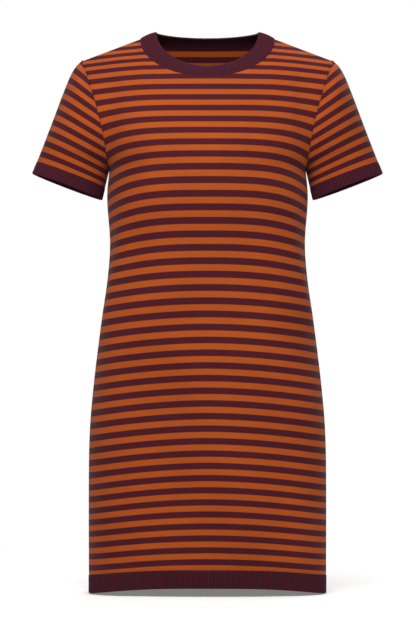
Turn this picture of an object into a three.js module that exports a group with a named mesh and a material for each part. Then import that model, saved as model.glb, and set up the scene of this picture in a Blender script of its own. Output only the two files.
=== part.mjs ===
// A short-sleeved knitted jumper dress, filled out as worn, open at neck, cuffs and hem.
// Every piece that is cut and sewn on is its own thin wall: front, back, two sleeves,
// neckband, two cuffs and a hem band for the front and for the back.
// Millimetres. x is across the body, -y is the front, +z is up, and the origin lies
// midway between the two high shoulder points, where the shoulder seams meet the neck.
import * as THREE from "three";

// ---------- driving sizes ----------

const clothThickness = 2;
const seamGap = 0.3; // between two pieces that are sewn together
const hemLevel = -869; // lowest edge, at the sides and the back
const hemBandHeight = 29;
const hemRise = 12; // how much higher the hem hangs at the centre front
const underarmLevel = -205;
const shoulderPoint = { x: 198, z: -35 }; // outer end of the shoulder seam
const neckHalfWidth = 106; // of the seam, at the high shoulder point
const neckFront = { y: -64, z: -66 }; // seam at the centre front
const neckBack = { y: 58, z: -8 }; // seam at the centre back
const neckRoundness = 0.75; // below 1 the neck runs straight over the shoulder seam
const bandTop = { halfWidth: 80, side: 11, front: { y: -46, z: -47 }, back: { y: 40, z: 7 } };
const bandCrown = 1.5; // how far the neckband bows outwards
const sleeveTilt = THREE.MathUtils.degToRad(20.7); // from vertical
const sleeveLine = { underarm: 71.6, cuffInner: 65.3 }; // how far out the under seam runs
const cuffEnd = 295.5; // along the sleeve's own axis, from the origin
const cuffHeight = 20;

// Horizontal sections of the body from underarm to hem. square is the exponent of the
// section's curve, and seamTurn is how far the side seam lies towards the front, in degrees.
const bodySections = [
  { z: -205, halfWidth: 154, front: 125, back: 97, square: 2.1, seamTurn: 0 },
  { z: -250, halfWidth: 157.5, front: 127, back: 94, square: 2.2, seamTurn: 3 },
  { z: -322, halfWidth: 153, front: 119, back: 89, square: 2.3, seamTurn: 6 },
  { z: -379, halfWidth: 157, front: 117, back: 92, square: 2.4, seamTurn: 8 },
  { z: -435, halfWidth: 165, front: 120, back: 100, square: 2.5, seamTurn: 9 },
  { z: -492, halfWidth: 172.5, front: 123, back: 106, square: 2.55, seamTurn: 10 },
  { z: -548, halfWidth: 179, front: 124, back: 109, square: 2.6, seamTurn: 11 },
  { z: -605, halfWidth: 184, front: 123, back: 110, square: 2.65, seamTurn: 12 },
  { z: -671, halfWidth: 186, front: 121, back: 109, square: 2.7, seamTurn: 13 },
  { z: -869, halfWidth: 186, front: 117, back: 106, square: 2.8, seamTurn: 14 },
];

// The armhole seam, from the underarm (at 0) to the shoulder point (at 1).
const armhole = [
  { at: 0, x: 154, front: 0, back: 0, z: underarmLevel },
  { at: 0.2, x: 157, front: -42, back: 40, z: -190 },
  { at: 0.4, x: 162.5, front: -60, back: 57, z: -155 },
  { at: 0.6, x: 172.5, front: -58, back: 59, z: -112 },
  { at: 0.8, x: 186, front: -38, back: 42, z: -68 },
  { at: 1, x: shoulderPoint.x, front: 0, back: 0, z: shoulderPoint.z },
];

// The sleeve's outer line and its half depth, down the sleeve's own axis.
const sleeveSections = [
  { down: 102.6, outer: 172.8, depth: 20 },
  { down: 112, outer: 177.2, depth: 40 },
  { down: 130, outer: 180.5, depth: 55 },
  { down: 165, outer: 181.5, depth: 63 },
  { down: 202, outer: 181.5, depth: 64 },
  { down: 233, outer: 181.6, depth: 57 },
  { down: 246, outer: 181.7, depth: 51 },
  { down: 275.5, outer: 182.2, depth: 43.5 },
  { down: cuffEnd, outer: 182.8, depth: 42 },
];

// Soft folds: turn is the place round the body in degrees from the centre front, at the
// fold's top and bottom, rise is its height and half its half-width in degrees.
const folds = [
  { side: -1, top: -245, bottom: -500, turnTop: 52, turnBottom: 76, half: 9, rise: 3.5 },
  { side: 1, top: -245, bottom: -500, turnTop: 52, turnBottom: 76, half: 9, rise: 3.5 },
  { side: 1, top: -560, bottom: -900, turnTop: 4, turnBottom: 7, half: 12, rise: 4 },
  { side: -1, top: -600, bottom: -900, turnTop: 24, turnBottom: 22, half: 10, rise: -3 },
  { side: -1, top: -520, bottom: -900, turnTop: 142, turnBottom: 150, half: 12, rise: 5 },
  { side: 1, top: -600, bottom: -900, turnTop: 150, turnBottom: 146, half: 13, rise: 5 },
];

const neckShare = 0.62; // share of a half panel's width that ends on the neck
const cornerReach = 0.3; // how far to each side the neck corner is rounded off below it
const cornerPower = 5; // the higher, the nearer to the neck the corner is soft already
const panelColumns = { neck: 8, shoulder: 5 }; // from the centre to the neck point, then out
const panelRows = { body: 17, yoke: 9 };
const sleeveGrid = { rows: 9, columns: 20 };
const cuffColumns = 28;
const bandRows = 2;
const yarn = { orange: 0xbe5e2c, maroon: 0x4f1f2d };

// ---------- small helpers ----------

const radians = THREE.MathUtils.degToRad;
const mix = (a, b, share) => a + (b - a) * share;
const smooth = (low, high, value) => THREE.MathUtils.smoothstep(value, low, high);
const point = (x, y, z) => new THREE.Vector3(x, y, z);

// One column of a table at a place along its key, on a smooth curve through its rows.
function read(table, key, place, column) {
  const rising = table[0][key] < table.at(-1)[key];
  const before = (row) => (rising ? row[key] <= place : row[key] >= place);
  const last = table.length - 2;
  const i = Math.min(last, Math.max(0, table.findLastIndex(before)));
  const slope = (k) => {
    const low = table[Math.max(0, k - 1)];
    const high = table[Math.min(table.length - 1, k + 1)];
    return (high[column] - low[column]) / (high[key] - low[key]);
  };
  const [a, b] = [table[i], table[i + 1]];
  const span = b[key] - a[key];
  const t = THREE.MathUtils.clamp((place - a[key]) / span, 0, 1);
  const bend = t * t * (3 - 2 * t);
  return (
    mix(a[column], b[column], bend) +
    span * slope(i) * t * (1 - t) ** 2 -
    span * slope(i + 1) * t * t * (1 - t)
  );
}

// Cubic curve between two points with a direction at each end.
function arcBetween(from, fromWay, to, toWay, t) {
  const bend = t * t * (3 - 2 * t);
  return from
    .clone()
    .lerp(to, bend)
    .addScaledVector(fromWay, t * (1 - t) ** 2)
    .addScaledVector(toWay, -t * t * (1 - t));
}

// ---------- the form that the pieces lie on ----------

// Height of the folds at a level and a place round the body.
function foldAt(z, turn) {
  let height = 0;
  for (const fold of folds) {
    const down = THREE.MathUtils.clamp((fold.top - z) / (fold.top - fold.bottom), 0, 1);
    const middle = fold.side * mix(fold.turnTop, fold.turnBottom, down);
    const away = (turn - middle) / fold.half;
    const length = Math.sin(Math.PI * Math.min(1, down * 1.15)) ** 0.7;
    const openEnd = fold.bottom < hemLevel ? smooth(0, 0.6, down) : length;
    height += fold.rise * openEnd * Math.exp(-away * away);
  }
  return height;
}

// A point on the body's outside: side is the level at the side seam, and turn runs from
// 0 at the centre front to 180 at the centre back, negative on the other side.
function bodyPoint(side, turn) {
  const size = (column) => read(bodySections, "z", side, column);
  const angle = radians(turn);
  const power = 2 / size("square");
  const depth = Math.abs(turn) < 90 ? -size("front") : size("back");
  const across = Math.sign(Math.sin(angle)) * Math.abs(Math.sin(angle)) ** power;
  const forward = Math.abs(Math.cos(angle)) ** power;
  const drop = THREE.MathUtils.clamp((underarmLevel - side) / (underarmLevel - hemLevel), 0, 1);
  const rise = Math.abs(turn) < 90 ? hemRise * drop ** 1.5 * Math.cos(angle) ** 2 : 0;
  const out = 1 + foldAt(side, turn) / Math.hypot(size("halfWidth") * across, depth * forward);
  return point(size("halfWidth") * across * out, depth * forward * out, side + rise);
}

// Half of a section, from the centre line to the side seam, cut at equal lengths of cloth.
function sectionRow(side, front, shares) {
  const seam = 90 - read(bodySections, "z", side, "seamTurn");
  const samples = 90;
  const turns = [];
  const lengths = [];
  let walked = 0;
  let previous = null;
  for (let i = 0; i <= samples; i++) {
    const turn = front ? (seam * i) / samples : 180 - ((180 - seam) * i) / samples;
    const here = bodyPoint(side, turn);
    walked += previous ? here.distanceTo(previous) : 0;
    turns.push(turn);
    lengths.push(walked);
    previous = here;
  }
  return shares.map((share) => {
    const wanted = share * walked;
    const i = Math.max(1, lengths.findIndex((length) => length >= wanted - 1e-9));
    const t = (wanted - lengths[i - 1]) / (lengths[i] - lengths[i - 1]);
    return mix(turns[i - 1], turns[i], t);
  });
}

// The neck seam, from 0 at the centre front to 180 at the centre back.
function neckPoint(turn, halfWidth, sideLevel, front, back) {
  const angle = radians(turn);
  const toCentre = Math.abs(Math.cos(angle));
  const end = turn <= 90 ? front : back;
  const power = turn <= 90 ? 1 : 2;
  return point(
    halfWidth * Math.sin(angle),
    end.y * toCentre ** neckRoundness,
    mix(sideLevel, end.z, toCentre ** power),
  );
}
const neckSeam = (turn) => neckPoint(turn, neckHalfWidth, 0, neckFront, neckBack);
const neckEdge = (turn) =>
  neckPoint(turn, bandTop.halfWidth, bandTop.side, bandTop.front, bandTop.back);

function armholePoint(at, front) {
  const value = (column) => read(armhole, "at", at, column);
  return point(value("x"), value(front ? "front" : "back"), value("z"));
}

// The upper edge of a panel, from the centre (share 0) along the neck and the shoulder (1).
function upperEdge(share, front) {
  if (share <= neckShare) {
    const round = (90 * share) / neckShare;
    return neckSeam(front ? round : 180 - round);
  }
  const out = (share - neckShare) / (1 - neckShare);
  return neckSeam(90).lerp(point(shoulderPoint.x, 0, shoulderPoint.z), out);
}

// The same edge with its corner rounded off, for the cloth below it.
function easedEdge(share, front) {
  const reach = Math.min(cornerReach, share, 1 - share);
  const sum = point(0, 0, 0);
  for (let i = -4; i <= 4; i++) sum.add(upperEdge(share + (reach * i) / 4, front));
  return sum.divideScalar(9);
}

// The upper part of a panel, from the underarm row (rise 0) to the neck and shoulder (1).
function yokePoint(rise, share, front) {
  const [turn, seamTurn] = sectionRow(underarmLevel, front, [share, 1]);
  const bottom = bodyPoint(underarmLevel, turn);
  const below = bodyPoint(underarmLevel - 1, turn);
  const top = easedEdge(share, front);
  const length = top.distanceTo(bottom);
  const back = front ? 1 : -1;
  const overChest = point(0, 0.45 * back, 0.89);
  const overShoulder = point(0, 0.92 * back, 0.39);
  const overTop = overChest.lerp(overShoulder, smooth(0.05, 0.8, share)).normalize();
  const upWay = bottom.clone().sub(below).normalize().multiplyScalar(length);
  const topWay = overTop.clone().multiplyScalar(length);
  const here = arcBetween(bottom, upWay, top, topWay, rise);
  here.addScaledVector(upperEdge(share, front).sub(top), rise ** cornerPower);
  // The last column is the armhole itself, and its neighbours lean towards it.
  const seamStart = point(armhole[0].x, 0, underarmLevel);
  const seamEnd = point(shoulderPoint.x, 0, shoulderPoint.z);
  const tall = seamEnd.distanceTo(seamStart);
  const lastUp = seamStart.clone().sub(bodyPoint(underarmLevel - 1, seamTurn));
  const lastTop = overShoulder.clone().normalize().multiplyScalar(tall);
  const last = arcBetween(seamStart, lastUp.normalize().multiplyScalar(tall), seamEnd, lastTop, rise);
  return here.add(armholePoint(rise, front).sub(last).multiplyScalar(share ** 2));
}

// ---------- sheets of cloth ----------

// A sheet is rows of points on its outside, and the normals there, which point out.
function makeSheet(rows, closed = false) {
  const wide = rows[0].length;
  const normals = rows.map((row, r) =>
    row.map((_, c) => {
      const left = closed ? (c + wide - 1) % wide : Math.max(0, c - 1);
      const right = closed ? (c + 1) % wide : Math.min(wide - 1, c + 1);
      const across = row[right].clone().sub(row[left]);
      const low = rows[Math.max(0, r - 1)][c];
      const high = rows[Math.min(rows.length - 1, r + 1)][c];
      return across.cross(high.clone().sub(low)).normalize();
    }),
  );
  return { rows, normals, closed };
}

// Pieces that are sewn together have the same edge face, so that their walls don't meet.
function shareEdge(first, second) {
  const reach = 14;
  const changes = [];
  for (const [mine, others] of [
    [first, second],
    [second, first],
  ]) {
    for (const { sheet, r, c } of mine) {
      const here = sheet.rows[r][c];
      let best = null;
      let nearest = reach;
      for (const other of others) {
        const away = here.distanceTo(other.sheet.rows[other.r][other.c]);
        if (away < nearest) {
          nearest = away;
          best = other;
        }
      }
      if (!best) continue;
      const theirs = best.sheet.normals[best.r][best.c];
      const own = sheet.normals[r][c];
      if (own.dot(theirs) > 0.2) changes.push([own, own.clone().add(theirs).normalize()]);
    }
  }
  for (const [normal, shared] of changes) normal.copy(shared);
}

const columnEdge = (sheet, c, from = 0) =>
  sheet.rows.slice(from).map((_, r) => ({ sheet, r: r + from, c }));
const rowEdge = (sheet, r, test = () => true) =>
  sheet.rows[r].map((_, c) => ({ sheet, r, c })).filter(({ c }) => test(c));

// The closed wall between a sheet and the same sheet moved in by its thickness.
function wallGeometry({ rows, normals, closed }) {
  const tall = rows.length;
  const wide = rows[0].length;
  const inside = rows.map((row, r) =>
    row.map((p, c) => p.clone().addScaledVector(normals[r][c], -clothThickness)),
  );
  const triangles = [];
  const quad = (a, b, c, d) => {
    const short = a.distanceTo(c) <= b.distanceTo(d);
    triangles.push(...(short ? [a, b, c, a, c, d] : [a, b, d, b, c, d]));
  };
  const columns = closed ? wide : wide - 1;
  for (let c = 0; c < columns; c++) {
    const n = (c + 1) % wide;
    for (let r = 0; r + 1 < tall; r++) {
      quad(rows[r][c], rows[r][n], rows[r + 1][n], rows[r + 1][c]);
      quad(inside[r + 1][c], inside[r + 1][n], inside[r][n], inside[r][c]);
    }
    quad(inside[0][c], inside[0][n], rows[0][n], rows[0][c]);
    quad(rows[tall - 1][c], rows[tall - 1][n], inside[tall - 1][n], inside[tall - 1][c]);
  }
  for (let r = 0; r + 1 < tall && !closed; r++) {
    quad(rows[r][0], rows[r + 1][0], inside[r + 1][0], inside[r][0]);
    const e = wide - 1;
    quad(inside[r][e], inside[r + 1][e], rows[r + 1][e], rows[r][e]);
  }
  const positions = new Float32Array(triangles.flatMap((p) => [p.x, p.y, p.z]));
  const geometry = new THREE.BufferGeometry();
  geometry.setAttribute("position", new THREE.BufferAttribute(positions, 3));
  geometry.computeVertexNormals();
  return geometry;
}

// The same sheet on the other side of the body.
function mirrored({ rows, normals, closed }) {
  const flip = (list) => [...list].reverse().map((v) => point(-v.x, v.y, v.z));
  return { rows: rows.map(flip), normals: normals.map(flip), closed };
}

// ---------- the pieces ----------

// Shares of a half panel's width for its columns, from the centre outwards.
function halfShares() {
  const { neck, shoulder } = panelColumns;
  const inner = Array.from({ length: neck + 1 }, (_, i) => (neckShare * i) / neck);
  const outer = Array.from(
    { length: shoulder },
    (_, i) => neckShare + ((1 - neckShare) * (i + 1)) / shoulder,
  );
  return [...inner, ...outer];
}

// Moves the outermost points of a half row in by half the seam gap.
function trimmed(half) {
  const last = half.at(-1);
  const back = half.at(-2).clone().sub(last).normalize();
  last.addScaledVector(back, seamGap / 2 + 0.05);
  return half;
}

// A whole row from its half, running so that normals point out of the body.
function wholeRow(half, front) {
  const other = half.slice(1).map((p) => point(-p.x, p.y, p.z));
  const row = [...other.reverse(), ...half];
  return front ? row : row.reverse();
}

// A row below the underarm. The folds differ from side to side, so both halves are read.
function bodyRow(side, front) {
  const shares = halfShares();
  const turns = sectionRow(side, front, shares);
  const right = trimmed(turns.map((turn) => bodyPoint(side, turn)));
  const left = trimmed(turns.map((turn) => bodyPoint(side, -turn)));
  const row = [...left.slice(1).reverse(), ...right];
  return front ? row : row.reverse();
}

function panelSheet(front) {
  const bottom = hemLevel + hemBandHeight + seamGap / 2;
  const rows = [];
  for (let r = 0; r < panelRows.body; r++) {
    rows.push(bodyRow(mix(bottom, underarmLevel, r / panelRows.body), front));
  }
  const shares = halfShares();
  for (let r = 0; r <= panelRows.yoke; r++) {
    const rise = r / panelRows.yoke;
    const half = shares.map((share) => yokePoint(rise, share, front));
    if (r === panelRows.yoke) {
      half.forEach((p, c) => {
        const below = yokePoint(rise - 0.02, shares[c], front);
        p.addScaledVector(below.sub(p).normalize(), seamGap / 2 + 0.05);
      });
    }
    rows.push(wholeRow(trimmed(half), front));
  }
  return makeSheet(rows);
}

function hemBandSheet(front) {
  const rows = [];
  for (let r = 0; r <= bandRows; r++) {
    const share = r / bandRows;
    rows.push(bodyRow(hemLevel + (hemBandHeight - seamGap / 2) * share, front));
  }
  return makeSheet(rows);
}

// The sleeve is worked out on its own axes: down its length, out from the body, and y.
const alongSleeve = point(Math.sin(sleeveTilt), 0, -Math.cos(sleeveTilt));
const outOfBody = point(Math.cos(sleeveTilt), 0, Math.sin(sleeveTilt));
const downTo = (p) => p.dot(alongSleeve);
const outTo = (p) => p.dot(outOfBody);
const onSleeve = (down, out, y) =>
  point(0, y, 0).addScaledVector(alongSleeve, down).addScaledVector(outOfBody, out);

// Where on the armhole a sleeve section ends, by halving the interval.
function armholeAt(down) {
  let [low, high] = [0, 1];
  for (let i = 0; i < 40; i++) {
    const middle = (low + high) / 2;
    if (downTo(armholePoint(middle, true)) > down) low = middle;
    else high = middle;
  }
  return (low + high) / 2;
}

const underarmDown = downTo(armholePoint(0, true));

// One section: turn runs from 0 on the outer line to 1 at the front end, or -1 at the back.
function sleevePoint(down, turn) {
  const front = turn > 0;
  const outer = read(sleeveSections, "down", down, "outer");
  const wanted = read(sleeveSections, "down", down, "depth");
  if (down >= underarmDown) {
    const share = (down - underarmDown) / (cuffEnd - underarmDown);
    const inner = mix(sleeveLine.underarm, sleeveLine.cuffInner, share);
    const angle = Math.PI * Math.abs(turn);
    const out = mix(outer, inner, (1 - Math.cos(angle)) / 2);
    return onSleeve(down, out, (front ? -1 : 1) * wanted * Math.sin(angle));
  }
  const end = armholePoint(armholeAt(down), front);
  const depth = mix(1.06 * Math.abs(end.y), wanted, smooth(150, 205, down));
  const full = Math.PI - Math.asin(Math.min(0.99, Math.abs(end.y) / depth));
  const angle = full * Math.abs(turn);
  const out = mix(outer, outTo(end), (1 - Math.cos(angle)) / (1 - Math.cos(full)));
  return onSleeve(down, out, (front ? -1 : 1) * depth * Math.sin(angle));
}

function sleeveSheet() {
  const { rows: tall, columns } = sleeveGrid;
  const capStart = downTo(armholePoint(0.93, true));
  const bottom = cuffEnd - cuffHeight - seamGap / 2;
  const turns = Array.from({ length: columns + 1 }, (_, i) => 1 - (2 * i) / columns);
  const rows = [];
  for (let r = 0; r <= tall; r++) {
    const down = mix(bottom, capStart, (r / tall) ** 0.9);
    const row = turns.map((turn) => sleevePoint(down, turn));
    for (const [end, next] of [
      [0, 1],
      [columns, columns - 1],
    ]) {
      const way = row[next].clone().sub(row[end]).normalize();
      row[end].addScaledVector(way, seamGap / 2 + 0.1);
    }
    rows.push(row);
  }
  // The last row runs along the armhole over the shoulder point.
  const top = turns.map((turn) => {
    const seam = armholePoint(1 - 0.055 * Math.abs(turn), turn > 0);
    return seam.addScaledVector(outOfBody, seamGap).addScaledVector(alongSleeve, seamGap);
  });
  rows.push(top);
  return makeSheet(rows);
}

function cuffSheet() {
  const rows = [];
  for (let r = 0; r <= bandRows; r++) {
    const down = cuffEnd - ((cuffHeight - seamGap / 2) * r) / bandRows;
    const row = Array.from({ length: cuffColumns }, (_, i) =>
      sleevePoint(down, 1 - (2 * (i + 0.5)) / cuffColumns),
    );
    rows.push(row);
  }
  return makeSheet(rows, true);
}

function neckbandSheet() {
  const quarter = panelColumns.neck;
  const turns = Array.from({ length: 2 * quarter + 1 }, (_, i) => (90 * i) / quarter);
  const rows = [];
  for (let r = 0; r <= bandRows; r++) {
    const share = r / bandRows;
    const half = turns.map((turn) => {
      const foot = neckSeam(turn);
      const edge = neckEdge(turn);
      const up = edge.clone().sub(foot);
      const start = foot.addScaledVector(up.clone().normalize(), seamGap / 2 + 0.1);
      const p = start.lerp(edge, share);
      const away = point(p.x, p.y, 0).normalize().add(point(0, 0, 1)).normalize();
      return p.addScaledVector(away, bandCrown * Math.sin(Math.PI * share));
    });
    const other = half.slice(1, -1).map((p) => point(-p.x, p.y, p.z));
    rows.push([...half, ...other.reverse()]);
  }
  return makeSheet(rows, true);
}

// ---------- putting the dress together ----------

const frontPanel = panelSheet(true);
const backPanel = panelSheet(false);
const sleeve = sleeveSheet();
const neckband = neckbandSheet();
const topRow = frontPanel.rows.length - 1;
const { neck: neckColumns, shoulder: shoulderColumns } = panelColumns;
const onShoulder = (c) =>
  c <= shoulderColumns || c >= shoulderColumns + 2 * neckColumns;
const onNeck = (c) => c >= shoulderColumns && c <= shoulderColumns + 2 * neckColumns;
const firstYokeRow = panelRows.body;
const lastColumn = frontPanel.rows[0].length - 1;

shareEdge(rowEdge(frontPanel, topRow, onShoulder), rowEdge(backPanel, topRow, onShoulder));
shareEdge(
  [...rowEdge(frontPanel, topRow, onNeck), ...rowEdge(backPanel, topRow, onNeck)],
  rowEdge(neckband, 0),
);
shareEdge(
  [
    ...columnEdge(frontPanel, lastColumn, firstYokeRow),
    ...columnEdge(backPanel, 0, firstYokeRow),
  ],
  [
    ...columnEdge(sleeve, 0),
    ...columnEdge(sleeve, sleeveGrid.columns),
    ...rowEdge(sleeve, sleeve.rows.length - 1),
  ],
);
// The other armhole of each panel gets the mirror image of the shared edge.
for (const [panel, from, to] of [
  [frontPanel, lastColumn, 0],
  [backPanel, 0, lastColumn],
]) {
  for (let r = firstYokeRow; r <= topRow; r++) {
    const shared = panel.normals[r][from];
    panel.normals[r][to].set(-shared.x, shared.y, shared.z);
  }
}

const cuff = cuffSheet();
const pieces = {
  front_panel: { sheet: frontPanel, colour: yarn.orange },
  back_panel: { sheet: backPanel, colour: yarn.orange },
  sleeve_left: { sheet: sleeve, colour: yarn.orange },
  sleeve_right: { sheet: mirrored(sleeve), colour: yarn.orange },
  neckband: { sheet: neckband, colour: yarn.maroon },
  cuff_left: { sheet: cuff, colour: yarn.maroon },
  cuff_right: { sheet: mirrored(cuff), colour: yarn.maroon },
  hem_band_front: { sheet: hemBandSheet(true), colour: yarn.maroon },
  hem_band_back: { sheet: hemBandSheet(false), colour: yarn.maroon },
};

const dress = new THREE.Group();
for (const [name, { sheet, colour }] of Object.entries(pieces)) {
  const knit = new THREE.MeshStandardMaterial({ color: colour, roughness: 0.9, metalness: 0 });
  const mesh = new THREE.Mesh(wallGeometry(sheet), knit);
  mesh.name = name;
  dress.add(mesh);
}

export default dress;
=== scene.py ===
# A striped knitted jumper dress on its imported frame: jersey panels and sleeves, rib trims.
import math
import bpy
import numpy as np
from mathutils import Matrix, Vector


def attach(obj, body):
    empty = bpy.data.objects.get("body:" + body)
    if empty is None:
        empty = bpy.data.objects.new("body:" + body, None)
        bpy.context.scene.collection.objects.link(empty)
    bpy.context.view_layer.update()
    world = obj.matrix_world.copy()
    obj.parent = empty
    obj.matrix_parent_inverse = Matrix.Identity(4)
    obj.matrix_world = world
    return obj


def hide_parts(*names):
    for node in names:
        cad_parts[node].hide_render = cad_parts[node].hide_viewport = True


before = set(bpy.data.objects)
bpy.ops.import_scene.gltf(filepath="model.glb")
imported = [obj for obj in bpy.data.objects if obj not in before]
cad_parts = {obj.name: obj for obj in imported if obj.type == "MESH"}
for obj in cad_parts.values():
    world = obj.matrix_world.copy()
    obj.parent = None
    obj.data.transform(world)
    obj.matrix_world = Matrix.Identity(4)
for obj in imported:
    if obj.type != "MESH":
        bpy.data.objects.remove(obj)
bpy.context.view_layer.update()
mm = 0.001

# ---- sizes, in mm unless a note says otherwise ----
body = {
    "hem": -869, "underarm": -205, "bandHeight": 29, "hemRise": 12,
    "shoulderX": 198, "shoulderZ": -35, "neckShare": 0.62, "cornerReach": 0.3,
    "wall": 1.8, "seamDip": 0.8, "seamRoll": 1.6, "halfPanel": 215, "yokeLength": 160,
    # the way the cloth leaves the chest and reaches the shoulder seam: forward, up
    "overChest": (0.45, 0.89), "overShoulder": (0.92, 0.39),
    # z, half width, front depth, back depth, squareness, how far the seam lies forward (degrees)
    "sections": [
        (-205, 154, 125, 97, 2.1, 0), (-250, 157.5, 127, 94, 2.2, 3), (-322, 153, 119, 89, 2.3, 6),
        (-379, 157, 117, 92, 2.4, 8), (-435, 165, 120, 100, 2.5, 9), (-492, 172.5, 123, 106, 2.55, 10),
        (-548, 179, 124, 109, 2.6, 11), (-605, 184, 123, 110, 2.65, 12), (-671, 186, 121, 109, 2.7, 13),
        (-869, 186, 117, 106, 2.8, 14)],
    # place from the underarm to the shoulder, x, front y, back y, z
    "armhole": [
        (0, 154, 0, 0, -205), (0.2, 157, -42, 40, -190), (0.4, 162.5, -60, 57, -155),
        (0.6, 172.5, -58, 59, -112), (0.8, 186, -38, 42, -68), (1, 198, 0, 0, -35)],
    "columns": 62, "skirtRows": 150, "yokeRows": 50,
}
neck = {
    "halfWidth": 106, "side": 0, "front": (-64, -66), "back": (58, -8), "roundness": 0.75,
    "edgeHalfWidth": 80, "edgeSide": 11, "edgeFront": (-46, -47), "edgeBack": (40, 7),
    "crown": 1.5, "ribs": 132, "bandHeight": 26,
}
sleeve = {
    "tilt": math.radians(20.7), "innerTop": 71.6, "innerCuff": 65.3, "end": 295.5, "cuffHeight": 20,
    # down the sleeve's axis, the outer line, half depth
    "sections": [
        (102.6, 172.8, 20), (112, 177.2, 40), (130, 180.5, 55), (165, 181.5, 63), (202, 181.5, 64),
        (233, 181.6, 57), (246, 181.7, 51), (275.5, 182.2, 43.5), (295.5, 182.8, 42)],
    "rows": 70, "columns": 96, "ribs": 84, "halfGirth": 165,
    # the cap: where it starts and ends on the armhole, its fullness, and where it is free of the seam
    "capStart": 0.93, "capEnd": 0.055, "fullness": 1.06, "leaves": 150, "isFree": 205,
    # how far a stripe leans up towards the armhole, and the power of its growth up the sleeve
    "stripeLean": 0.4, "leanPower": 0.8,
}
# side, top and bottom level, turn in degrees at each, half width in degrees, rise, lasts to the hem
folds = [
    (-1, -245, -500, 52, 76, 9, 3.5, False), (1, -245, -500, 52, 76, 9, 3.5, False),
    (1, -560, -900, 4, 7, 12, 4, True), (-1, -600, -900, 24, 22, 10, -3, True),
    (-1, -520, -900, 142, 150, 12, 5, True), (1, -600, -900, 150, 146, 13, 5, True)]
stripes = {
    # level on the centre front and the number of the maroon stripe there, from the hem
    "levels": [(-869, -2), (-816, 1), (-743, 5), (-650, 10), (-554, 15), (-456.5, 20), (-355, 25),
               (-252.5, 30), (-205, 32.3), (-154, 35), (-83, 39), (-50, 41), (-25, 43), (-2, 45)],
    # the back is steeper above the underarm, so its stripes lie further apart in level
    "backLevels": [(-252.5, 30), (-205, 32.3), (-154, 35), (-100, 37.8), (-24.5, 42), (0, 43.4)],
    # level, how far a stripe has dropped at archReach from the centre, and the power of its curve
    "arch": [(-869, 8, 2), (-803, 9, 2), (-727, 11, 1.9), (-650, 11, 1.8), (-493, 10.5, 1.8),
             (-411, 10, 2), (-327, 14, 3), (-243, 16.6, 4.4), (-205, 14.5, 4.6), (-162, 9, 4.6),
             (-124, 5, 4.2), (-90, 4, 3), (0, 4, 2)],
    "archReach": 149, "sleevePitch": 17.7, "sleeveStart": 0.25, "maroonShare": 0.52, "blur": 0.018,
}
# wales in half a panel, courses in a stripe and its gap, and the width of a wale on the sleeve
knit = {"wales": 118, "coursesPerStripe": 12, "sleeveWale": 1.8}
ribbing = {
    "wall": 2.2, "stitch": 2.2, "rise": 0.5, "steps": 6, "turnDip": 0.9,
    "hemRise": 0.55, "hemHalfSteps": 3, "hemFrontRibs": 118, "hemBackRibs": 166,
}


def smooth(low, high, value):
    t = min(1, max(0, (value - low) / (high - low)))
    return t * t * (3 - 2 * t)


def arcBetween(start, startWay, end, endWay, t):
    bend = t * t * (3 - 2 * t)
    return start + (end - start) * bend + startWay * (t * (1 - t) ** 2) - endWay * (t * t * (1 - t))


def read(table, place, column):
    # a smooth curve through one column of a table, the same as in the part
    rising = table[0][0] < table[-1][0]
    i = 0
    for k in range(len(table) - 1):
        if (table[k][0] <= place) if rising else (table[k][0] >= place):
            i = k

    def slope(k):
        low, high = table[max(0, k - 1)], table[min(len(table) - 1, k + 1)]
        return (high[column] - low[column]) / (high[0] - low[0])
    a, b = table[i], table[i + 1]
    span = b[0] - a[0]
    t = min(1, max(0, (place - a[0]) / span))
    return arcBetween(a[column], span * slope(i), b[column], span * slope(i + 1), t)


def foldAt(z, turn):
    height = 0
    for side, top, bottom, turnTop, turnBottom, half, rise, toHem in folds:
        down = min(1, max(0, (top - z) / (top - bottom)))
        away = (turn - side * (turnTop + (turnBottom - turnTop) * down)) / half
        length = smooth(0, 0.6, down) if toHem else math.sin(math.pi * min(1, down * 1.15)) ** 0.7
        height += rise * length * math.exp(-away * away)
    return height


sectionCache = {}


def section(level):
    if level not in sectionCache:
        sectionCache[level] = [read(body["sections"], level, c) for c in range(1, 6)]
    return sectionCache[level]


def bodyPoint(level, turn):
    halfWidth, front, back, square, _ = section(level)
    angle = math.radians(turn)
    isFront = abs(turn) < 90
    depth = -front if isFront else back
    across = math.copysign(abs(math.sin(angle)) ** (2 / square), math.sin(angle))
    forward = abs(math.cos(angle)) ** (2 / square)
    drop = min(1, max(0, (body["underarm"] - level) / (body["underarm"] - body["hem"])))
    rise = body["hemRise"] * drop ** 1.5 * math.cos(angle) ** 2 if isFront else 0
    out = 1 + foldAt(level, turn) / math.hypot(halfWidth * across, depth * forward)
    return np.array([halfWidth * across * out, depth * forward * out, level + rise])


def sectionTurns(level, isFront, shares):
    # places at equal lengths of cloth from the centre line to the side seam
    seam = 90 - section(level)[4]
    samples = 90
    ends = (0, seam) if isFront else (180, seam)
    turns = np.linspace(ends[0], ends[1], samples + 1)
    points = np.array([bodyPoint(level, turn) for turn in turns])
    lengths = np.concatenate([[0], np.cumsum(np.linalg.norm(np.diff(points, axis=0), axis=1))])
    return np.interp(np.array(shares) * lengths[-1], lengths, turns)


def neckPoint(turn, halfWidth, side, front, back):
    angle = math.radians(turn)
    toCentre = abs(math.cos(angle))
    y, z = front if turn <= 90 else back
    power = 1 if turn <= 90 else 2
    return np.array([halfWidth * math.sin(angle), y * toCentre ** neck["roundness"],
                     side + (z - side) * toCentre ** power])


def neckSeam(turn):
    return neckPoint(turn, neck["halfWidth"], neck["side"], neck["front"], neck["back"])


def neckEdge(turn):
    return neckPoint(turn, neck["edgeHalfWidth"], neck["edgeSide"], neck["edgeFront"], neck["edgeBack"])


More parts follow.
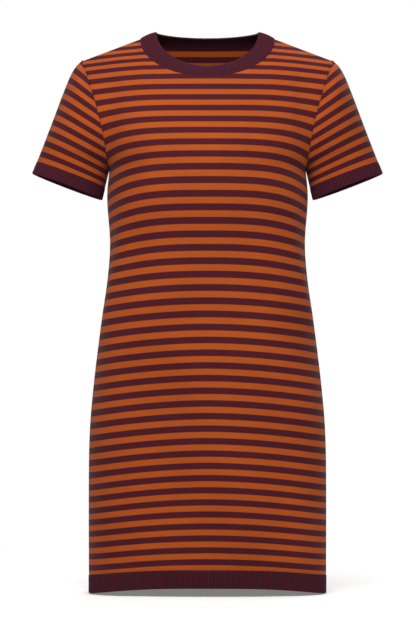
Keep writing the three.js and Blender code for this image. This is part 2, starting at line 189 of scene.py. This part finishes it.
def armholePoint(at, isFront):
    return np.array([read(body["armhole"], at, 1), read(body["armhole"], at, 2 if isFront else 3),
                     read(body["armhole"], at, 4)])


shoulderEnd = np.array([body["shoulderX"], 0, body["shoulderZ"]], dtype=float)


def upperEdge(share, isFront):
    if share <= body["neckShare"]:
        around = 90 * share / body["neckShare"]
        return neckSeam(around if isFront else 180 - around)
    out = (share - body["neckShare"]) / (1 - body["neckShare"])
    return neckSeam(90) * (1 - out) + shoulderEnd * out


def yokeColumn(share, isFront, rises):
    turn, seamTurn = sectionTurns(body["underarm"], isFront, [share, 1])
    bottom = bodyPoint(body["underarm"], turn)
    below = bodyPoint(body["underarm"] - 1, turn)
    reach = min(body["cornerReach"], share, 1 - share)
    eased = sum(upperEdge(share + reach * i / 4, isFront) for i in range(-4, 5)) / 9
    corner = upperEdge(share, isFront) - eased
    way = 1 if isFront else -1
    overChest, overShoulder = (np.array([0, forward * way, up])
                               for forward, up in (body["overChest"], body["overShoulder"]))
    overTop = overChest + (overShoulder - overChest) * smooth(0.05, 0.8, share)
    overTop /= np.linalg.norm(overTop)
    length = np.linalg.norm(eased - bottom)
    up = (bottom - below) / np.linalg.norm(bottom - below)
    seamStart = np.array([body["armhole"][0][1], 0, body["underarm"]], dtype=float)
    tall = np.linalg.norm(shoulderEnd - seamStart)
    lastUp = seamStart - bodyPoint(body["underarm"] - 1, seamTurn)
    lastUp *= tall / np.linalg.norm(lastUp)
    lastTop = overShoulder * tall / np.linalg.norm(overShoulder)
    column = []
    for rise in rises:
        here = arcBetween(bottom, up * length, eased, overTop * length, rise) + corner * rise ** 5
        last = arcBetween(seamStart, lastUp, shoulderEnd, lastTop, rise)
        column.append(here + (armholePoint(rise, isFront) - last) * share ** 2)
    return column


# ---- cloth: grids of points with a thickness ----
def gridNormals(points, closed):
    across = np.roll(points, -1, axis=1) - np.roll(points, 1, axis=1)
    if not closed:
        across[:, 0] = points[:, 1] - points[:, 0]
        across[:, -1] = points[:, -1] - points[:, -2]
    up = np.gradient(points, axis=0)
    normals = np.cross(across, up)
    return normals / np.linalg.norm(normals, axis=2, keepdims=True)


def clothPiece(name, points, uv, material, closed=False, wall=body["wall"]):
    # points and uv are rows by columns; the second layer lies one wall inside the first
    normals = gridNormals(points, closed)
    tall, wide = points.shape[:2]
    layers = np.concatenate([points.reshape(-1, 3), (points - normals * wall).reshape(-1, 3)]) * mm
    layerUv = np.concatenate([uv.reshape(-1, 2), uv.reshape(-1, 2)])
    inner = tall * wide
    faces, faceUv = [], []
    steps = wide if closed else wide - 1

    def quad(a, b, c, d, wrap):
        faces.append((a, b, c, d))
        corners = [layerUv[i].copy() for i in (a, b, c, d)]
        if wrap:
            for i, corner in zip((a, b, c, d), corners):
                if i % wide == 0:
                    corner[0] += wrap
        faceUv.extend(corners)

    for c in range(steps):
        n = (c + 1) % wide
        wrap = closed if closed and n == 0 else 0
        for r in range(tall - 1):
            a, b, e, d = r * wide + c, r * wide + n, (r + 1) * wide + n, (r + 1) * wide + c
            quad(a, b, e, d, wrap)
            quad(inner + d, inner + e, inner + b, inner + a, wrap)
        quad(inner + c, inner + n, n, c, wrap)
        last = (tall - 1) * wide
        quad(last + c, last + n, inner + last + n, inner + last + c, wrap)
    if not closed:
        e = wide - 1
        for r in range(tall - 1):
            a, b = r * wide, (r + 1) * wide
            quad(a, b, inner + b, inner + a, 0)
            quad(inner + a + e, inner + b + e, b + e, a + e, 0)
    mesh = bpy.data.meshes.new(name)
    mesh.from_pydata(layers.tolist(), [], faces)
    layer = mesh.uv_layers.new(name="knit")
    layer.data.foreach_set("uv", np.array(faceUv, dtype=np.float32).ravel())
    mesh.polygons.foreach_set("use_smooth", [True] * len(mesh.polygons))
    mesh.materials.append(material)
    mesh.update()
    mesh.set_sharp_from_angle(angle=math.radians(60))
    piece = bpy.data.objects.new(name, mesh)
    bpy.context.collection.objects.link(piece)
    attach(piece, "root")
    print("made", name, len(faces) * 2, "triangles")
    return piece


# ---- materials ----
class Wire:
    # an output socket that takes part in sums
    def __init__(self, tree, socket):
        self.tree, self.socket = tree, socket

    def maths(self, operation, *values):
        node = self.tree.nodes.new("ShaderNodeMath")
        node.operation = operation
        for slot, value in zip(node.inputs, values):
            if isinstance(value, Wire):
                self.tree.links.new(value.socket, slot)
            else:
                slot.default_value = value
        return Wire(self.tree, node.outputs[0])

    def __add__(self, other):
        return self.maths("ADD", self, other)

    def __radd__(self, other):
        return self.maths("ADD", other, self)

    def __sub__(self, other):
        return self.maths("SUBTRACT", self, other)

    def __rsub__(self, other):
        return self.maths("SUBTRACT", other, self)

    def __mul__(self, other):
        return self.maths("MULTIPLY", self, other)

    def __rmul__(self, other):
        return self.maths("MULTIPLY", other, self)

    def __pow__(self, other):
        return self.maths("POWER", self, other)

    def __abs__(self):
        return self.maths("ABSOLUTE", self)

    def fract(self):
        return self.maths("FRACT", self)

    def sine(self):
        return self.maths("SINE", self)

    def highest(self, other):
        return self.maths("MAXIMUM", self, other)


class Finish:
    # a material with its nodes
    def __init__(self, name):
        self.material = bpy.data.materials.new(name)
        self.material.use_nodes = True
        self.tree = self.material.node_tree
        self.shader = self.tree.nodes["Principled BSDF"]

    def add(self, kind, settings=None, values=None, out=0):
        node = self.tree.nodes.new(kind)
        for key, value in (settings or {}).items():
            setattr(node, key, value)
        for key, value in (values or {}).items():
            self.feed(node.inputs[key], value)
        return Wire(self.tree, node.outputs[out])

    def feed(self, socket, value):
        if isinstance(value, Wire):
            self.tree.links.new(value.socket, socket)
        else:
            socket.default_value = value

    def mix(self, factor, low, high):
        node = self.tree.nodes.new("ShaderNodeMix")
        node.data_type = "RGBA"
        for socket, value in ((node.inputs[0], factor), (node.inputs[6], low), (node.inputs[7], high)):
            self.feed(socket, value)
        return Wire(self.tree, node.outputs[2])

    def soften(self, value, low, high):
        return self.add("ShaderNodeMapRange", {"interpolation_type": "SMOOTHSTEP"},
                        {"Value": value, "From Min": low, "From Max": high})

    def finish(self, colour, rough, height, strength, distance, sheen):
        bump = self.add("ShaderNodeBump", {}, {"Height": height, "Strength": strength,
                                              "Distance": distance})
        self.feed(self.shader.inputs["Base Color"], colour)
        self.feed(self.shader.inputs["Roughness"], rough)
        self.feed(self.shader.inputs["Normal"], bump)
        self.shader.inputs["Specular IOR Level"].default_value = 0.1
        self.shader.inputs["Sheen Weight"].default_value = sheen
        self.shader.inputs["Sheen Roughness"].default_value = 0.45
        return self.material


def colour(red, green, blue):
    # from screen values out of 255 to linear ones
    def linear(value):
        value /= 255
        return value / 12.92 if value <= 0.04045 else ((value + 0.055) / 1.055) ** 2.4
    return (linear(red), linear(green), linear(blue), 1)


yarn = {
    "orange": (168, 76, 24), "orangeDeep": (155, 68, 20),
    "maroon": (71, 21, 31), "maroonDeep": (64, 18, 27),
    # painted shade: the darker rib colour is for the grooves between the ribs
    "rib": (70, 22, 36), "ribGrooveShade": (42, 12, 21),
    # painted shade: the near-black colour and its amount darken the knit between its loops, where the
    # stitches sink
    "gap": (0.01, 0.004, 0.004, 1), "gapDepth": 0.22, "patchScale": 9, "fuzzScale": 420,
    "sheen": 0.04, "stitchHeight": 0.35 * mm, "ribHeight": 0.3 * mm,
}


def stitchHeight(wale, course):
    # two leaning legs in each wale, one loop in each course
    leg = abs((wale.fract() - 0.5) * 4) - 1
    legTop = (1 - abs(leg)).highest(0)
    lean = abs(wale.fract() - 0.5) * 1.4
    loop = ((course + lean).fract() * math.pi).sine()
    return (legTop ** 0.6) * (0.45 + 0.55 * loop)


def jersey():
    f = Finish("stripedJersey")
    spot = f.add("ShaderNodeUVMap", {"uv_map": "knit"})
    wale = f.add("ShaderNodeSeparateXYZ", {}, {"Vector": spot})
    phase = Wire(f.tree, wale.socket.node.outputs[1])
    place = f.add("ShaderNodeTexCoord", {}, {}, out=3)
    patchy = f.add("ShaderNodeTexNoise", {}, {"Vector": place, "Scale": yarn["patchScale"]})
    fuzz = f.add("ShaderNodeTexNoise", {}, {"Vector": place, "Scale": yarn["fuzzScale"]})
    height = stitchHeight(wale, phase * knit["coursesPerStripe"])
    ragged = (height - 0.5) * 0.03
    toStripe = abs((phase + 0.5).fract() - 0.5) + ragged
    half = stripes["maroonShare"] / 2
    orangeMask = f.soften(toStripe, half - stripes["blur"], half + stripes["blur"])
    shade = f.soften(patchy * 0.6 + fuzz * 0.4, 0.3, 0.7)
    orange = f.mix(shade, colour(*yarn["orangeDeep"]), colour(*yarn["orange"]))
    maroon = f.mix(shade, colour(*yarn["maroonDeep"]), colour(*yarn["maroon"]))
    cloth = f.mix(orangeMask, maroon, orange)
    # painted shade between the stitches: the cloth goes towards near-black where the stitch height is
    # low
    cloth = f.mix(yarn["gapDepth"] * (1 - height), cloth, yarn["gap"])
    rough = 0.82 + 0.1 * fuzz
    return f.finish(cloth, rough, height + fuzz * 0.25, 0.5, yarn["stitchHeight"], yarn["sheen"])


def rib():
    f = Finish("maroonRib")
    spot = f.add("ShaderNodeUVMap", {"uv_map": "knit"})
    across = f.add("ShaderNodeSeparateXYZ", {}, {"Vector": spot})
    along = Wire(f.tree, across.socket.node.outputs[1])
    place = f.add("ShaderNodeTexCoord", {}, {}, out=3)
    fuzz = f.add("ShaderNodeTexNoise", {}, {"Vector": place, "Scale": yarn["fuzzScale"]})
    ridge = 0.5 + 0.5 * (across * (2 * math.pi)).sine()
    stitch = ((along + 0.35 * ridge).fract() * math.pi).sine()
    # painted shade in the grooves between the ribs, with a little random tone from the fuzz
    shade = 0.8 * ridge + 0.2 * fuzz
    cloth = f.mix(shade, colour(*yarn["ribGrooveShade"]), colour(*yarn["rib"]))
    return f.finish(cloth, 0.84 + 0.1 * fuzz, stitch * ridge + 0.3 * fuzz, 0.45, yarn["ribHeight"],
                    yarn["sheen"])


jerseyCloth = jersey()
ribCloth = rib()


# ---- the body panels ----
def archDrop(level, across):
    drop = read(stripes["arch"], level, 1)
    power = read(stripes["arch"], level, 2)
    return drop * (abs(across) / stripes["archReach"]) ** power


def stripeAt(level, isFront):
    table = "levels" if isFront or level < stripes["backLevels"][0][0] else "backLevels"
    return read(stripes[table], level, 1)


def panelShares():
    roll = body["seamRoll"] / body["halfPanel"]
    inner = np.linspace(0, 1 - roll, body["columns"])
    return np.concatenate([inner, [1]])


def bodyRows(levels, shares, isFront):
    rows = []
    for level in levels:
        turns = sectionTurns(level, isFront, shares)
        right = [bodyPoint(level, turn) for turn in turns]
        left = [bodyPoint(level, -turn) for turn in turns[1:]]
        row = left[::-1] + right
        rows.append(row if isFront else row[::-1])
    return np.array(rows)


def dipEdges(points):
    # a sewn edge sinks a little, which draws the seam
    dips = gridNormals(points, False) * body["seamDip"]
    for row in (0, -1):
        points[row] -= dips[row]
    for column in (0, -1):
        points[:, column] -= dips[:, column]


def panel(name, isFront):
    shares = panelShares()
    bottom = body["hem"] + body["bandHeight"]
    roll = body["seamRoll"]
    levels = [bottom] + list(np.linspace(bottom + roll, body["underarm"], body["skirtRows"] + 1))[:-1]
    lower = bodyRows(levels, shares, isFront)
    rises = np.concatenate([np.linspace(0, 1 - roll / body["yokeLength"], body["yokeRows"]), [1]])
    half = np.array([yokeColumn(share, isFront, rises) for share in shares]).transpose(1, 0, 2)
    left = half[:, :0:-1] * np.array([-1, 1, 1])
    upper = np.concatenate([left, half], axis=1)
    if not isFront:
        upper = upper[:, ::-1]
    points = np.concatenate([lower, upper])
    signed = np.concatenate([-shares[:0:-1], shares])
    if not isFront:
        signed = signed[::-1]
    uv = np.zeros(points.shape[:2] + (2,))
    uv[:, :, 0] = signed * knit["wales"] + 0.5
    for r in range(points.shape[0]):
        for c in range(points.shape[1]):
            x, _, z = points[r, c]
            uv[r, c, 1] = stripeAt(z + archDrop(z, x), isFront)
    dipEdges(points)
    return clothPiece(name, points, uv, jerseyCloth)


def ribbed(points, ribs, rise, edge, sink, closed):
    # real ribs rise and fall across a band, less at its two edges, which sink a little
    wide = points.shape[1]
    wave = np.sin(2 * math.pi * ribs * np.arange(wide) / (wide if closed else wide - 1))
    height = wave[None, :] * np.array(edge)[:, None] * rise - np.array(sink)[:, None]
    return points + gridNormals(points, closed) * height[:, :, None]


def ribMap(points, ribs, heights, closed):
    wide = points.shape[1]
    uv = np.zeros(points.shape[:2] + (2,))
    uv[:, :, 0] = np.arange(wide) * ribs / (wide if closed else wide - 1)
    uv[:, :, 1] = (heights / ribbing["stitch"])[:, None]
    return uv


def hemBand(name, isFront):
    # the bottom edge is turned, so it is rounded over
    ribs = ribbing["hemFrontRibs"] if isFront else ribbing["hemBackRibs"]
    shares = np.linspace(0, 1, ribs * ribbing["hemHalfSteps"] + 1)
    height = body["bandHeight"]
    heights = np.concatenate([[0, 0.8], np.linspace(3, height - 1.6, 9), [height]])
    points = bodyRows(body["hem"] + heights, shares, isFront)
    points = ribbed(points, ribs, ribbing["hemRise"], [0.4] + [1] * 10 + [0.4],
                    [ribbing["turnDip"]] + [0] * 10 + [body["seamDip"]], False)
    uv = ribMap(points, ribs, heights, False)
    return clothPiece(name, points, uv, ribCloth, wall=ribbing["wall"])


# ---- the sleeves ----
alongSleeve = np.array([math.sin(sleeve["tilt"]), 0, -math.cos(sleeve["tilt"])])
outOfBody = np.array([math.cos(sleeve["tilt"]), 0, math.sin(sleeve["tilt"])])


def onSleeve(down, out, y):
    return alongSleeve * down + outOfBody * out + np.array([0, y, 0])


underarmDown = armholePoint(0, True) @ alongSleeve


def armholeAt(down):
    low, high = 0, 1
    for _ in range(40):
        middle = (low + high) / 2
        if armholePoint(middle, True) @ alongSleeve > down:
            low = middle
        else:
            high = middle
    return (low + high) / 2


# how deep the sleeve's soft wrinkles are, where, and how they lean
puckers = [(150, 0.62, 16, 0.16, 2.6), (176, 0.78, 13, 0.13, -2.2), (196, -0.7, 14, 0.14, 2.4),
           (160, -0.6, 13, 0.14, -2.0), (215, 0.5, 15, 0.12, 1.6), (232, -0.35, 14, 0.2, 1.4)]


def sleevePoint(down, turn, endAt=None):
    isFront = turn > 0
    outer = read(sleeve["sections"], down, 1)
    wanted = read(sleeve["sections"], down, 2)
    wrinkle = sum(depth * math.exp(-((down - at) / long) ** 2 - ((turn - around) / wide) ** 2)
                  for at, around, long, wide, depth in puckers)
    if down >= underarmDown:
        share = (down - underarmDown) / (sleeve["end"] - underarmDown)
        inner = sleeve["innerTop"] + (sleeve["innerCuff"] - sleeve["innerTop"]) * share
        angle = math.pi * abs(turn)
        out = outer + (inner - outer) * (1 - math.cos(angle)) / 2
        y = (wanted + wrinkle) * math.sin(angle)
        return onSleeve(down, out, -y if isFront else y)
    end = armholePoint(endAt, isFront)
    blend = smooth(sleeve["leaves"], sleeve["isFree"], down)
    depth = sleeve["fullness"] * abs(end[1]) * (1 - blend) + wanted * blend
    full = math.pi - math.asin(min(0.99, abs(end[1]) / depth))
    angle = full * abs(turn)
    out = outer + (end @ outOfBody - outer) * (1 - math.cos(angle)) / (1 - math.cos(full))
    y = (depth + wrinkle * (1 - abs(turn) ** 6)) * math.sin(angle)
    return onSleeve(down, out, -y if isFront else y)


def sleeveRows(steps, downs):
    rows = []
    for down in downs:
        endAt = armholeAt(down) if down < underarmDown else None
        rows.append([sleevePoint(down, turn, endAt) for turn in steps])
    return np.array(rows)


def mirrored(points, uv):
    return points[:, ::-1] * np.array([-1, 1, 1]), uv[:, ::-1]


def tuckedIn(points, uv):
    # the seam allowance, turned in under the edge of the body in two steps
    normals = gridNormals(points, False)
    for sink, reach in ((0.9, 0.3), (2.6, 2.6)):
        inward = points - normals * sink - outOfBody * reach
        points = np.concatenate([inward[:, :1], points, inward[:, -1:]], axis=1)
        uv = np.concatenate([uv[:, :1], uv, uv[:, -1:]], axis=1)
        normals = np.concatenate([normals[:, :1], normals, normals[:, -1:]], axis=1)
        top = points[-1:] - normals[-1:] * sink - outOfBody * reach - alongSleeve * sink / 2
        points = np.concatenate([points, top])
        uv = np.concatenate([uv, uv[-1:]])
        normals = np.concatenate([normals, normals[-1:]])
    return points, uv


def sleevePiece(name, flip):
    turns = np.linspace(1, -1, sleeve["columns"] + 1)
    capStart = armholePoint(sleeve["capStart"], True) @ alongSleeve
    bottom = sleeve["end"] - sleeve["cuffHeight"]
    way = np.concatenate([[0], np.linspace(0.01, 1, sleeve["rows"])])
    downs = bottom + (capStart - bottom) * way ** 0.9
    points = sleeveRows(turns, downs)
    cap = [armholePoint(1 - sleeve["capEnd"] * abs(turn), turn > 0) for turn in turns]
    points = np.concatenate([points, [cap]])
    uv = np.zeros(points.shape[:2] + (2,))
    down = points @ alongSleeve
    out = points @ outOfBody
    outerLine = out[:, sleeve["columns"] // 2][:, None]
    lean = np.clip((bottom - down) / (bottom - capStart), 0, 1)
    level = down - sleeve["stripeLean"] * lean ** sleeve["leanPower"] * (outerLine - out)
    uv[:, :, 0] = (turns * sleeve["halfGirth"] / knit["sleeveWale"])[None, :] + 0.5
    uv[:, :, 1] = (bottom - level) / stripes["sleevePitch"] + stripes["sleeveStart"]
    points, uv = tuckedIn(points, uv)
    if flip:
        points, uv = mirrored(points, uv)
    return clothPiece(name, points, uv, jerseyCloth)


def cuffPiece(name, flip):
    ribs, height = sleeve["ribs"], sleeve["cuffHeight"]
    steps = ribs * ribbing["steps"]
    turns = 1 - 2 * (np.arange(steps) + 0.5) / steps
    heights = np.concatenate([[0, 0.8], np.linspace(2.5, height - 1.5, 7), [height]])
    points = sleeveRows(turns, sleeve["end"] - heights)
    points = ribbed(points, ribs, ribbing["rise"], [0.5, 0.9] + [1] * 7 + [0.5],
                    [ribbing["turnDip"], 0.2] + [0] * 7 + [body["seamDip"]], True)
    uv = ribMap(points, ribs, heights, True)
    if flip:
        points = mirrored(points, uv)[0]
        uv[:, :, 0] += 0.5
    return clothPiece(name, points, uv, ribCloth, closed=ribs, wall=ribbing["wall"])


def neckbandPiece():
    # its ribs are spaced evenly by the length of the neck seam
    ribs = neck["ribs"]
    around = np.linspace(0, 180, 721)
    seam = np.array([neckSeam(turn) for turn in around])
    walked = np.concatenate([[0], np.cumsum(np.linalg.norm(np.diff(seam, axis=0), axis=1))])
    evenly = np.linspace(0, walked[-1], ribs * ribbing["steps"] // 2 + 1)
    halfTurns = np.interp(evenly, walked, around)
    shares = np.concatenate([[0, 0.07], np.linspace(0.16, 0.9, 9), [0.97, 1]])
    rows = []
    for share in shares:
        half = []
        for turn in halfTurns:
            p = neckSeam(turn) * (1 - share) + neckEdge(turn) * share
            away = np.array([p[0], p[1], 0]) / np.hypot(p[0], p[1]) + np.array([0, 0, 1])
            half.append(p + away / math.sqrt(2) * neck["crown"] * math.sin(math.pi * share))
        rows.append(half + [np.array([-p[0], p[1], p[2]]) for p in half[-2:0:-1]])
    points = np.array(rows)
    points = ribbed(points, ribs, ribbing["rise"], [0.5, 0.9] + [1] * 9 + [0.9, 0.5],
                    [body["seamDip"], 0] + [0] * 9 + [0.2, ribbing["turnDip"]], True)
    uv = ribMap(points, ribs, shares * neck["bandHeight"], True)
    return clothPiece("neckband_rib", points, uv, ribCloth, closed=ribs,
                      wall=ribbing["wall"])


print("cutting and sewing the dress")
# piece, the node it stands for, and its flat cut in metres with the area in square metres
made = [
    (panel("front_jersey", True), "front_panel", (0.455, 0.845), 0.33),
    (panel("back_jersey", False), "back_panel", (0.6, 0.85), 0.42),
    (sleevePiece("sleeve_left_jersey", False), "sleeve_left", (0.33, 0.2), 0.038),
    (sleevePiece("sleeve_right_jersey", True), "sleeve_right", (0.33, 0.2), 0.038),
    (cuffPiece("cuff_left_rib", False), "cuff_left", (0.325, 0.02), None),
    (cuffPiece("cuff_right_rib", True), "cuff_right", (0.325, 0.02), None),
    (neckbandPiece(), "neckband", (0.53, 0.027), None),
    (hemBand("hem_front_rib", True), "hem_band_front", (0.437, 0.029), None),
    (hemBand("hem_back_rib", False), "hem_band_back", (0.617, 0.029), None),
]
for piece, node, flat, area in made:
    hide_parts(node)

# ---- floor, lights and camera ----
studio = {
    "floor": -0.8697, "reach": 1.7, "glow": 0.2, "distance": 4.5, "eye": -0.6,
    "ambient": 0.3,
    # place, aim, size in metres, power in watts
    "lights": {
        "key": ((-0.3, -1.4, 0.8), (0, 0, -0.1), (1.1, 0.8), 27),
        "fill": ((1.3, -2.2, 0.8), (0, 0, -0.25), (1.4, 1.4), 12),
        "top": ((0, -0.6, 1.1), (0, -0.05, -0.1), (0.9, 0.6), 8),
        "back": ((0.5, 2.0, 1.2), (0, 0, -0.3), (1.8, 1.4), 40),
    },
}


def paleFloor():
    mesh = bpy.data.meshes.new("floor")
    sides, reach = 96, studio["reach"]
    rim = [2 * math.pi * i / sides for i in range(sides)]
    mesh.from_pydata([(reach * math.cos(a), reach * math.sin(a), studio["floor"]) for a in rim], [],
                     [tuple(range(sides))])
    paper = Finish("palePaper")
    paper.shader.inputs["Base Color"].default_value = (0.86, 0.86, 0.86, 1)
    paper.shader.inputs["Roughness"].default_value = 0.9
    paper.shader.inputs["Emission Color"].default_value = (1, 1, 1, 1)
    paper.shader.inputs["Emission Strength"].default_value = studio["glow"]
    mesh.materials.append(paper.material)
    floor = bpy.data.objects.new("floor", mesh)
    bpy.context.collection.objects.link(floor)


def softLight(name, place, aim, size, power):
    data = bpy.data.lights.new(name, "AREA")
    data.shape = "RECTANGLE"
    data.size, data.size_y = size
    data.energy = power
    lamp = bpy.data.objects.new(name, data)
    lamp.location = place
    lamp.rotation_euler = (Vector(aim) - Vector(place)).to_track_quat("-Z", "Y").to_euler()
    bpy.context.collection.objects.link(lamp)


def paleRoom():
    # a white room to look at, and a dimmer one to light the cloth
    world = bpy.data.worlds.new("studio")
    world.use_nodes = True
    tree = world.node_tree
    seen = tree.nodes.new("ShaderNodeLightPath").outputs["Is Camera Ray"]
    strength = tree.nodes.new("ShaderNodeMapRange")
    strength.inputs["To Min"].default_value = studio["ambient"]
    tree.links.new(seen, strength.inputs["Value"])
    background = tree.nodes["Background"]
    background.inputs["Color"].default_value = (1, 1, 1, 1)
    tree.links.new(strength.outputs[0], background.inputs["Strength"])
    bpy.context.scene.world = world


paleFloor()
paleRoom()
for name, setup in studio["lights"].items():
    softLight(name, *setup)
bpy.context.scene.view_settings.view_transform = "Standard"

framing = {"tallView": 0.9803, "centreX": 0.0008, "centreZ": -0.429}
camera = bpy.data.objects.new("camera", bpy.data.cameras.new("camera"))
camera.data.sensor_fit = "VERTICAL"
camera.data.sensor_height = 24
camera.data.lens = 24 * studio["distance"] / framing["tallView"]
camera.data.clip_end = 50
camera.location = (framing["centreX"], -studio["distance"], studio["eye"])
camera.rotation_euler = (math.pi / 2, 0, 0)
camera.data.shift_y = (framing["centreZ"] - studio["eye"]) / framing["tallView"]
bpy.context.collection.objects.link(camera)
bpy.context.scene.camera = camera

print("ready")
